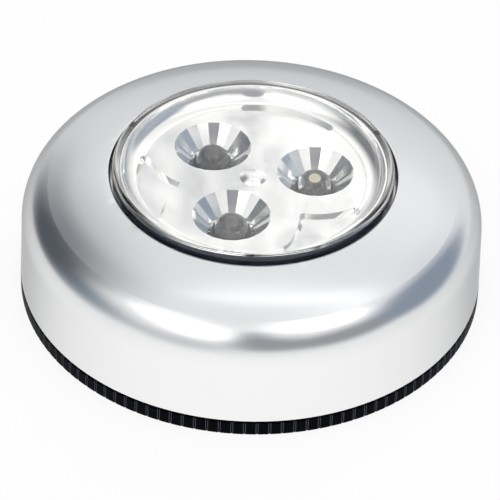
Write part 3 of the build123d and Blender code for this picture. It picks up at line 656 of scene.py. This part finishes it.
def resistor_lacquer():
    """Beige lacquer with bands, and tinned wire away from the body."""
    material, tree = new_material("banded_resistor_lacquer")
    low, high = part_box("resistor")
    middle = (low + high) / 2
    place = add(tree, "ShaderNodeTexCoord").outputs["Object"]
    place = add(tree, "ShaderNodeVectorMath", {0: place, 1: middle}, operation="SUBTRACT")
    along = add(tree, "ShaderNodeVectorMath", {0: place.outputs[0], 1: (
        -math.sin(resistor_angle), math.cos(resistor_angle), 0)}, operation="DOT_PRODUCT")
    stripe = add(tree, "ShaderNodeMath", {0: along.outputs["Value"], 1: band_pitch}, operation="PINGPONG")
    band = add(tree, "ShaderNodeMath", {0: stripe.outputs[0], 1: band_from}, operation="GREATER_THAN")
    reach = add(tree, "ShaderNodeMath", {0: along.outputs["Value"]}, operation="ABSOLUTE")
    wire = add(tree, "ShaderNodeMath", {0: reach.outputs[0], 1: body_half}, operation="GREATER_THAN")
    colour = add(tree, "ShaderNodeMix", {0: band.outputs[0], 6: linear(beige_hex), 7: linear(band_hex)},
                 data_type="RGBA")
    both = add(tree, "ShaderNodeMix", {0: wire.outputs[0], 6: colour.outputs[2], 7: linear(tinned_hex)},
               data_type="RGBA")
    shader = add(tree, "ShaderNodeBsdfPrincipled", {
        "Base Color": both.outputs[2], "Metallic": wire.outputs[0], "Roughness": 0.3, "IOR": 1.5})
    add(tree, "ShaderNodeOutputMaterial", {"Surface": shader.outputs[0]})
    return material


wear(resistor_lacquer(), "resistor")

# %% [markdown]
# ## Cells
#
# A cell is a steel can in a shrunk film sleeve. The film is one plain grey, with a thin pale ring
# printed near the positive end, and it leaves the nub bare. The ring's place is a distance along Y
# from the nub's tip, on the side to which the cell points. A plain plus or minus isn't needed.

# %% The cells
sleeve_hex = "#5C6066"
ring_hex = "#DDDEDF"
nub_hex = "#C6C7C8"
ring_at = 3.2 * MM
ring_half = 0.6 * MM
bare_nub = 1 * MM
ink_width = 1.5 * MM
smooth_ink, dull_ink = 0.18, 0.32
cell_l = corners_mm("cell_1")[1].y - corners_mm("cell_1")[0].y


def cell_sleeve(name, node, side):
    """A plain film sleeve, with a thin pale ring near the nub's end."""
    material, tree = new_material(name)
    low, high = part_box(node)
    nub = high.y if side > 0 else -low.y
    place = add(tree, "ShaderNodeTexCoord").outputs["Object"]
    along = add(tree, "ShaderNodeVectorMath", {0: place, 1: (0, side, 0)}, operation="DOT_PRODUCT")
    depth = add(tree, "ShaderNodeMath", {0: nub, 1: along.outputs["Value"]}, operation="SUBTRACT")
    ring = add(tree, "ShaderNodeMath", {0: depth.outputs[0], 1: ring_at, 2: ring_half}, operation="COMPARE")
    bare = add(tree, "ShaderNodeMath", {0: depth.outputs[0], 1: bare_nub}, operation="LESS_THAN")
    colour = add(tree, "ShaderNodeMix", {0: ring.outputs[0], 6: linear(sleeve_hex), 7: linear(ring_hex)},
                 data_type="RGBA")
    both = add(tree, "ShaderNodeMix", {0: bare.outputs[0], 6: colour.outputs[2], 7: linear(nub_hex)},
               data_type="RGBA")
    ink = add(tree, "ShaderNodeTexNoise", {"Vector": place, "Scale": 1 / ink_width, "Detail": 3.0})
    rough = add(tree, "ShaderNodeMapRange", {"Value": ink.outputs[0], "To Min": smooth_ink,
                                             "To Max": dull_ink})
    shader = add(tree, "ShaderNodeBsdfPrincipled", {
        "Base Color": both.outputs[2], "Metallic": bare.outputs[0], "Roughness": rough.outputs[0],
        "IOR": 1.5})
    add(tree, "ShaderNodeOutputMaterial", {"Surface": shader.outputs[0]})
    return material


for k, side in ((1, 1), (2, -1), (3, 1)):
    wear(cell_sleeve(f"printed_film_sleeve_{k}", f"cell_{k}", side), f"cell_{k}")
print(f"cells: {cell_l:.1f} mm long with their nubs")

# %% [markdown]
# ## Foam pad and liner
#
# The pad is white closed-cell foam with glue on both sides, and a waxed paper still covers the outer
# glue. Foam that was punched from a sheet has slightly bulged, finely pitted edges, so the pad is
# turned with a crowned edge, and its bubbles are a cell pattern in its material. The paper is flat
# and stays as it is, with a faint fibre.

# %% The pad
pad_low, pad_high = corners_mm("foam_pad")
pad_r = (pad_high.x - pad_low.x) / 2
edge_bulge = 0.12
edge_steps = 8
flat_steps = 6
bubble = 0.35 * MM
bubble_depth = 0.08 * MM
foam_hex = "#F2F1EC"
bubble_hex = "#D9D7CE"

pad_outline = [(0, pad_low.z)]
pad_outline += [(pad_r * k / flat_steps, pad_low.z) for k in range(1, flat_steps)]
middle_z, half_z = (pad_low.z + pad_high.z) / 2, (pad_high.z - pad_low.z) / 2
for k in range(edge_steps + 1):
    turn = math.pi * (k / edge_steps - 0.5)
    pad_outline.append((pad_r - edge_bulge + edge_bulge * math.cos(turn), middle_z + half_z * math.sin(turn)))
pad_outline += [(pad_r * k / flat_steps, pad_high.z) for k in range(flat_steps - 1, 0, -1)]
pad_outline.append((0, pad_high.z))


def closed_cell_foam():
    """White foam with open bubbles at its cut edge."""
    material, tree = new_material("white_closed_cell_foam")
    place = add(tree, "ShaderNodeTexCoord").outputs["Object"]
    bubbles = add(tree, "ShaderNodeTexVoronoi", {"Vector": place, "Scale": 1 / bubble})
    colour = add(tree, "ShaderNodeMix", {0: bubbles.outputs["Distance"], 6: linear(foam_hex),
                                         7: linear(bubble_hex)}, data_type="RGBA")
    bump = add(tree, "ShaderNodeBump", {"Height": bubbles.outputs["Distance"], "Strength": 0.8,
                                        "Distance": bubble_depth})
    shader = add(tree, "ShaderNodeBsdfPrincipled", {
        "Base Color": colour.outputs[2], "Roughness": 0.85, "IOR": 1.4, "Normal": bump.outputs[0],
        "Sheen Weight": 0.2})
    add(tree, "ShaderNodeOutputMaterial", {"Surface": shader.outputs[0]})
    return material


pad = lathe("foam_pad_crowned", pad_outline, 180)
soften(pad)
pad.data.materials.append(closed_cell_foam())
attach(pad, "base")
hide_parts("foam_pad")
print(f"pad: {2 * pad_r:.1f} mm across, {pad_high.z - pad_low.z:.1f} mm thick")

# %% The paper liner
fibre_width = 0.8 * MM
fibre_depth = 0.01 * MM
paper_hex = "#F3EBD3"
fibre_hex = "#E2D7B8"


def waxed_paper():
    """Cream paper with a faint fibre and a waxy shine."""
    material, tree = new_material("waxed_paper_liner")
    place = add(tree, "ShaderNodeTexCoord").outputs["Object"]
    fibre = add(tree, "ShaderNodeTexNoise", {"Vector": place, "Scale": 1 / fibre_width, "Detail": 6.0,
                                             "Distortion": 2.0})
    colour = add(tree, "ShaderNodeMix", {0: fibre.outputs[0], 6: linear(paper_hex), 7: linear(fibre_hex)},
                 data_type="RGBA")
    bump = add(tree, "ShaderNodeBump", {"Height": fibre.outputs[0], "Strength": 0.4,
                                        "Distance": fibre_depth})
    shader = add(tree, "ShaderNodeBsdfPrincipled", {
        "Base Color": colour.outputs[2], "Roughness": 0.38, "IOR": 1.45, "Normal": bump.outputs[0]})
    add(tree, "ShaderNodeOutputMaterial", {"Surface": shader.outputs[0]})
    return material


wear(waxed_paper(), "release_liner")

# %% [markdown]
# ## A white tent
#
# Shiny silver shows its surroundings, so the surroundings are what has to be built. A product like
# this is shot in a tent of white cloth. The tent has gaps: a slate one on the left, a blue-grey one on
# the right and a grey one in front, where the camera looks in, with a narrow slit above it. The cloth
# behind hangs in faint folds, which the mirror plate turns into soft grey swirls. Each gap or fold is
# an ellipse on the sky, given by its compass direction, its height and its half-sizes in degrees, and
# it fades out from its middle. The camera itself sees plain white.

# %% Places on the sky
world = bpy.data.worlds.new("white_tent")
bpy.context.scene.world = world
world.use_nodes = True
sky = world.node_tree
sky.nodes.clear()
direction = add(sky, "ShaderNodeTexCoord").outputs["Generated"]
parts = add(sky, "ShaderNodeSeparateXYZ", {0: direction})
nearer = add(sky, "ShaderNodeMath", {0: parts.outputs[1], 1: -1.0}, operation="MULTIPLY")
compass = add(sky, "ShaderNodeMath", {0: parts.outputs[0], 1: nearer.outputs[0]}, operation="ARCTAN2")
height = add(sky, "ShaderNodeMath", {0: parts.outputs[2]}, operation="ARCSINE")
# The floor of the height keeps a place on the ceiling finite for rays that are nearly level
least_rise = 0.05
over = add(sky, "ShaderNodeMath", {0: parts.outputs[2], 1: least_rise}, operation="MAXIMUM")
ceiling_x = add(sky, "ShaderNodeMath", {0: parts.outputs[0], 1: over.outputs[0]}, operation="DIVIDE")
ceiling_y = add(sky, "ShaderNodeMath", {0: parts.outputs[1], 1: over.outputs[0]}, operation="DIVIDE")
print(f"{len(sky.nodes)} nodes tell where on the sky a ray ends")


def soft_ellipse(across, up, half_w, half_h, core):
    """1 in an ellipse's core, and fading to 0 at its edge."""
    spot = add(sky, "ShaderNodeCombineXYZ", {0: across, 1: up})
    sized = add(sky, "ShaderNodeVectorMath", {0: spot.outputs[0], 1: (half_w, half_h, 1)}, operation="DIVIDE")
    far = add(sky, "ShaderNodeVectorMath", {0: sized.outputs[0]}, operation="LENGTH")
    return add(sky, "ShaderNodeMapRange", {
        "Value": far.outputs["Value"], "From Min": core, "From Max": 1.0, "To Min": 1.0,
        "To Max": 0.0}, interpolation_type="SMOOTHSTEP").outputs[0]


# %% The tent and its gaps
# Each gap or fold: compass direction (0 towards the camera, positive to its right), height,
# half-width and half-height in degrees, the core's share of it, and the colour
tent_hex = "#FFFFFF"
gaps = [
    (-35, 18, 42, 17, 0.3, "#D6D8DA"),
    (-85, 20, 42, 27, 0.2, "#8B97A3"),
    (-118, 24, 46, 52, 0.28, "#343D48"),
    (10, 32, 26, 24, 0.4, "#97989C"),
    (3, 49, 13, 23, 0.5, "#84868E"),
    (50, 26, 62, 21.5, 0.4, "#97999E"),
    (98, 27, 39, 31, 0.6, "#8795A8"),
    (-177, 41, 2.2, 8, 0.1, "#C6C8CB"),
    (178.4, 42, 1.0, 3, 0.1, "#B9BBC0"),
    (-179.8, 38, 0.7, 5, 0.1, "#BDBFC4"),
]

tent = linear(tent_hex)
for turn, altitude, half_w, half_h, core, gap_hex in gaps:
    swing = add(sky, "ShaderNodeMath", {0: compass.outputs[0], 1: math.radians(turn)}, operation="SUBTRACT")
    near = add(sky, "ShaderNodeMath", {0: swing.outputs[0], 1: math.pi, 2: -math.pi}, operation="WRAP")
    lift = add(sky, "ShaderNodeMath", {0: height.outputs[0], 1: math.radians(altitude)}, operation="SUBTRACT")
    mask = soft_ellipse(near.outputs[0], lift.outputs[0], math.radians(half_w), math.radians(half_h), core)
    tent = add(sky, "ShaderNodeMix", {0: mask, 6: tent, 7: linear(gap_hex)}, data_type="RGBA").outputs[2]
print(f"tent with {len(gaps)} gaps and folds")

# %% [markdown]
# Overhead hang softboxes: two large ones in front, with a dimmer seam between them, which the
# shoulder of the dome shows as two white patches, a narrow one behind that draws the long white line
# at the edge of the front, and a broad, weak one that fills the back. They are places on a ceiling
# one unit above the light. The first three are almost twice as bright as the tent, and their edges
# fade as a cloth front does.

# %% The softboxes overhead
# Each softbox: centre to the right and behind, half-width and half-depth on a ceiling one unit up,
# the core's share of it, and how many times the tent's brightness it has
softboxes = [
    (-0.48, -0.66, 0.47, 0.78, 0.6, 1.9),
    (0.44, -0.28, 0.42, 0.38, 0.65, 1.9),
    (0.20, 0.21, 0.60, 0.07, 0.5, 1.9),
    (0.0, 1.3, 1.5, 0.9, 0.4, 1.2),
]

bright = 1.0
for x, y, half_w, half_d, core, strength in softboxes:
    beside = add(sky, "ShaderNodeMath", {0: ceiling_x.outputs[0], 1: x}, operation="SUBTRACT")
    behind = add(sky, "ShaderNodeMath", {0: ceiling_y.outputs[0], 1: y}, operation="SUBTRACT")
    mask = soft_ellipse(beside.outputs[0], behind.outputs[0], half_w, half_d, core)
    bright = add(sky, "ShaderNodeMix", {0: mask, 2: bright, 3: strength}, data_type="FLOAT").outputs[0]
rays = add(sky, "ShaderNodeLightPath")
tent_light = add(sky, "ShaderNodeBackground", {"Color": tent, "Strength": bright})
white = add(sky, "ShaderNodeBackground", {"Color": (1, 1, 1, 1), "Strength": 1.0})
choice = add(sky, "ShaderNodeMixShader", {0: rays.outputs["Is Camera Ray"], 1: tent_light.outputs[0],
                                          2: white.outputs[0]})
add(sky, "ShaderNodeOutputWorld", {"Surface": choice.outputs[0]})
print(f"{len(softboxes)} softboxes")

# %% [markdown]
# ## Floor
#
# The floor is a white table. Seen by the camera, in a reflection or through clear plastic, it is
# nearly pure white, so most of its colour is given as light of its own, and the rest is plain white
# paint that keeps a trace of the light's shadow.

# %% The white table
# The light falls off round the table: brightest in front, dimmest behind
bright_side = math.radians(-4)
dim_strength = 0.68
near_strength = 1.14
white_strength = 1.02
glow_share = 0.85
paint_hex = "#F4F4F4"


def white_table():
    """White paint with a glow for the camera and for reflections."""
    material, tree = new_material("white_table")
    rays = add(tree, "ShaderNodeLightPath")
    seen = add(tree, "ShaderNodeMath", {0: rays.outputs["Is Camera Ray"], 1: rays.outputs["Is Glossy Ray"]},
               operation="MAXIMUM")
    seen = add(tree, "ShaderNodeMath", {0: seen.outputs[0], 1: rays.outputs["Is Transmission Ray"]},
               operation="MAXIMUM")
    share = add(tree, "ShaderNodeMath", {0: seen.outputs[0], 1: glow_share}, operation="MULTIPLY")
    place = add(tree, "ShaderNodeTexCoord").outputs["Object"]
    spoke = add(tree, "ShaderNodeVectorMath", {0: place}, operation="NORMALIZE")
    side = add(tree, "ShaderNodeVectorMath", {0: spoke.outputs[0], 1: (
        math.sin(bright_side), -math.cos(bright_side), 0)}, operation="DOT_PRODUCT")
    fall = add(tree, "ShaderNodeMapRange", {"Value": side.outputs["Value"], "From Min": -1.0,
                                            "To Min": dim_strength, "To Max": near_strength})
    level = add(tree, "ShaderNodeMix", {0: rays.outputs["Is Camera Ray"], 2: fall.outputs[0],
                                        3: white_strength}, data_type="FLOAT")
    paint = add(tree, "ShaderNodeBsdfDiffuse", {"Color": linear(paint_hex)})
    glow = add(tree, "ShaderNodeEmission", {"Color": (1, 1, 1, 1), "Strength": level.outputs[0]})
    shader = add(tree, "ShaderNodeMixShader", {0: share.outputs[0], 1: paint.outputs[0], 2: glow.outputs[0]})
    add(tree, "ShaderNodeOutputMaterial", {"Surface": shader.outputs[0]})
    return material


half = 2.0
table_drop = 0.02 * MM
sheet = bpy.data.meshes.new("white_table")
corners = [(-half, -half, 0), (half, -half, 0), (half, half, 0), (-half, half, 0)]
sheet.from_pydata(corners, [], [(0, 1, 2, 3)])
table = bpy.data.objects.new("white_table", sheet)
table.location.z = -table_drop
bpy.context.scene.collection.objects.link(table)
sheet.materials.append(white_table())
table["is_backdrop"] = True
print(f"table {2 * half:.0f} m wide")

# %% [markdown]
# ## Camera
#
# The picture was taken from less than half a metre away, looking down at about 40 degrees, with a
# slight tilt to the right. Those numbers came from fitting the outline of the dome and its opening
# to the picture. A 221 mm lens on a 36 mm frame gives that view at 450 mm.

# %% The camera
# The fit gave angles in radians, lengths in millimetres and a focal length of 3072 picture pixels
rise = 0.6948
away = 450.0
roll = 0.0348
pivot_z = 12
focal_px = 3072
picture_px = 500
sensor = 36
eye = Vector((0, -away * math.cos(rise), pivot_z + away * math.sin(rise))) * MM
target = Vector((-0.10, 0, 5.07)) * MM
lens_data = bpy.data.cameras.new("camera")
lens_data.lens = focal_px / picture_px * sensor
lens_data.sensor_width = sensor
lens_data.clip_start = 0.01
camera = bpy.data.objects.new("camera", lens_data)
forward = (target - eye).normalized()
level_right = forward.cross(Vector((0, 0, 1))).normalized()
level_up = level_right.cross(forward)
right = level_right * math.cos(roll) + level_up * math.sin(roll)
upright = level_up * math.cos(roll) - level_right * math.sin(roll)
camera.matrix_world = Matrix([(right[k], upright[k], -forward[k], eye[k]) for k in range(3)] + [(0, 0, 0, 1)])
bpy.context.scene.collection.objects.link(camera)
bpy.context.scene.camera = camera
bpy.context.scene.view_settings.view_transform = "Standard"
# Light that is caught in the clear plastic turns at many walls before it comes out
bpy.context.scene.cycles.max_bounces = 24
bpy.context.scene.cycles.glossy_bounces = 16
bpy.context.scene.cycles.transmission_bounces = 16
print(f"camera {(target - eye).length / MM:.0f} mm from the light, lens {lens_data.lens:.1f} mm")

# %% [markdown]
# ## Measure
#
# The dressed model has to be the size of the imported one.

# %% Sizes and the last line
boxes = {"cad": [list(corner) for corner in cad_bounds],
         "visual": [list(corner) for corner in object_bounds()]}
for key, box in boxes.items():
    print(f"{key} box in mm:", [[round(v / MM, 2) for v in corner] for corner in box])
